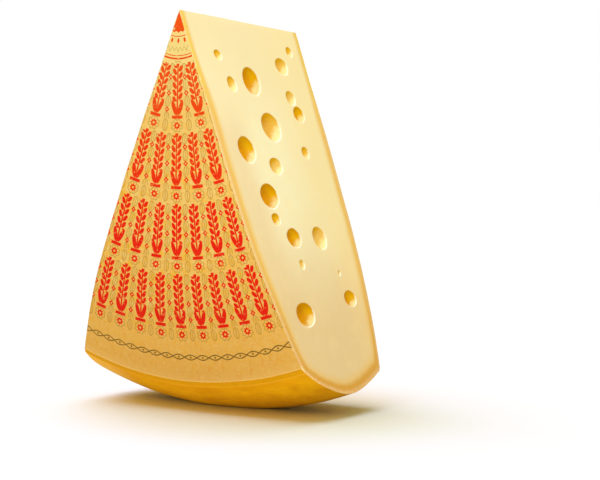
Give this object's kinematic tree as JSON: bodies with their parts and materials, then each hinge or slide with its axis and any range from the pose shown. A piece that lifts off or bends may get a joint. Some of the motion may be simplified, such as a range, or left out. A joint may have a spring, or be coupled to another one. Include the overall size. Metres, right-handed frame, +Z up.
{
  "type": "cheese wedge",
  "caption": "Tall wedge of hard cheese with large round eyes in both cut faces and a printed rind, standing on its bulging rim.",
  "frame": {"origin": "on the floor, under the middle of the wedge", "axes": "+Z up to the thin edge, Y along the axis of the wheel that the wedge was cut from, with the printed face towards -Y; the two cuts face +X and -X, both slightly up"},
  "size_m": [0.299, 0.25, 0.4245],
  "materials": {
    "paste": "smooth cut cheese, slightly moist and faintly translucent, darker towards the rind",
    "rind": "dry amber rind with a low waxy sheen",
    "printed_rind": "dry mottled yellow rind with rows of red and olive printed motifs"
  },
  "bodies": {
    "root": {"cheese_wedge": "paste"}
  },
  "joints": []
}
